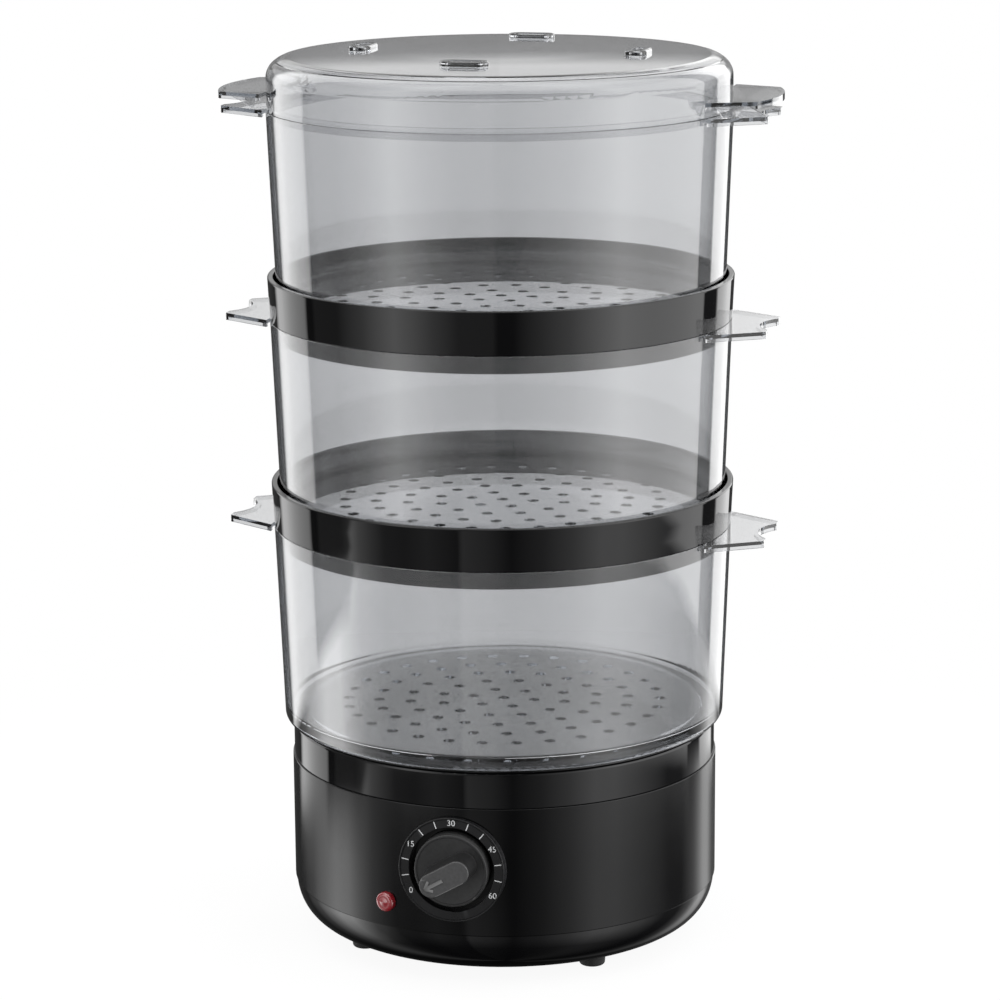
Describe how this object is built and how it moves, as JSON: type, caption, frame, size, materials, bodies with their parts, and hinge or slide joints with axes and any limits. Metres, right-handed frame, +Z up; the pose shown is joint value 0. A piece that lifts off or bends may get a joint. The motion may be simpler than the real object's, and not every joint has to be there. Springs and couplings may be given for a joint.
{
  "type": "electric food steamer",
  "caption": "Electric food steamer: round black base with water basin, heater and clockwork timer dial, clear bowls stacked on rings, and a vented lid",
  "frame": {"origin": "centre of the overall box at the plane of the soles of the feet, which is on the axis of the stack to within 2.2 mm", "axes": "+Z up, the dial faces -Y, the handles of bowls and lid lie along X"},
  "size_m": [0.247, 0.2163, 0.395],
  "materials": {
    "satin_black": "satin black moulded plastic",
    "gloss_black": "glossy black moulded plastic",
    "clear_plastic": "clear moulded plastic with a slight grey tint, not glass",
    "dial_black": "fine-grained black plastic with white scale marks on the ring",
    "knob_black": "dark grey-black plastic with a fine grain",
    "grey_plastic": "dark grey plastic",
    "rubber_black": "black rubber",
    "gland_black": "black nylon",
    "zinc_steel": "zinc-plated steel",
    "timer_steel": "thin plated steel sheet",
    "stainless": "brushed stainless steel",
    "silicone": "red silicone rubber",
    "ceramic_white": "white ceramic",
    "fuse_sleeve": "pale heat-proof plastic",
    "lamp_red": "translucent red plastic",
    "lamp_glass": "clear lamp glass",
    "holder_black": "black plastic sleeve",
    "brass": "brass",
    "cam_white": "white acetal plastic",
    "contact_block": "brown phenolic block with bronze leaves",
    "bell_metal": "nickel-plated bell",
    "wire_sleeve": "heat-proof wire sleeving"
  },
  "bodies": {
    "base": {"base_housing": "satin_black", "water_reservoir": "gloss_black", "base_pan": "gloss_black", "dial_ring": "dial_black", "rubber_feet": "rubber_black", "cord_gland": "gland_black", "gland_nut": "gland_black", "cover_screws": "zinc_steel", "timer_screws": "zinc_steel", "clamp_nuts": "zinc_steel", "element_clamp_ring": "zinc_steel", "hammer_pivot": "zinc_steel", "timer_case": "timer_steel", "timer_back_plate": "timer_steel", "mainspring": "timer_steel", "heater_plate": "stainless", "heating_element": "stainless", "element_gasket": "silicone", "boil_dry_thermostat": "ceramic_white", "thermal_fuse": "fuse_sleeve", "terminal_block": "fuse_sleeve", "indicator_lens": "lamp_red", "neon_lamp": "lamp_glass", "lamp_holder": "holder_black", "shaft_bush": "brass", "switch_contacts": "contact_block", "timer_bell": "bell_metal", "internal_wires": "wire_sleeve"},
    "knob": {"timer_knob": "knob_black", "timer_shaft": "zinc_steel", "main_gear": "brass", "switch_cam": "cam_white"},
    "escapement": {"escape_arbor": "brass"},
    "hammer": {"bell_hammer": "zinc_steel"},
    "steam_sleeve": {"steam_sleeve": "grey_plastic"},
    "drip_tray": {"drip_tray": "gloss_black"},
    "lower_bowl": {"bowl_1": "clear_plastic"},
    "lower_ring": {"connecting_ring_1": "gloss_black"},
    "middle_bowl": {"bowl_2": "clear_plastic"},
    "upper_ring": {"connecting_ring_2": "gloss_black"},
    "top_bowl": {"bowl_3": "clear_plastic"},
    "lid": {"lid": "clear_plastic"}
  },
  "joints": [
    {"name": "timer_dial", "type": "hinge", "parent": "base", "child": "knob", "pos_m": [0, -0.097, 0.054], "axis": [0, 1, 0], "range_deg": [0, 240]},
    {"name": "escape_turn", "type": "hinge", "parent": "base", "child": "escapement", "pos_m": [0.01102, -0.08, 0.06714], "axis": [0, 1, 0], "range_deg": [-1150, 30]},
    {"name": "hammer_swing", "type": "hinge", "parent": "base", "child": "hammer", "pos_m": [-0.0175, -0.0566, 0.045], "axis": [0, 1, 0], "range_deg": [-8, 3]},
    {"name": "sleeve_lift", "type": "slide", "parent": "base", "child": "steam_sleeve", "axis": [0, 0, 1], "range_m": [0, 0.06]},
    {"name": "tray_lift", "type": "slide", "parent": "steam_sleeve", "child": "drip_tray", "axis": [0, 0, 1], "range_m": [0, 0.04]},
    {"name": "lower_bowl_lift", "type": "slide", "parent": "drip_tray", "child": "lower_bowl", "axis": [0, 0, 1], "range_m": [0, 0.04]},
    {"name": "lower_ring_lift", "type": "slide", "parent": "lower_bowl", "child": "lower_ring", "axis": [0, 0, 1], "range_m": [0, 0.03]},
    {"name": "middle_bowl_lift", "type": "slide", "parent": "lower_ring", "child": "middle_bowl", "axis": [0, 0, 1], "range_m": [0, 0.04]},
    {"name": "upper_ring_lift", "type": "slide", "parent": "middle_bowl", "child": "upper_ring", "axis": [0, 0, 1], "range_m": [0, 0.03]},
    {"name": "top_bowl_lift", "type": "slide", "parent": "upper_ring", "child": "top_bowl", "axis": [0, 0, 1], "range_m": [0, 0.04]},
    {"name": "lid_lift", "type": "slide", "parent": "top_bowl", "child": "lid", "axis": [0, 0, 1], "range_m": [0, 0.04]}
  ],
  "couplings": [
    {"joint": "escape_turn", "follows": "timer_dial", "ratio": -4.6667}
  ]
}
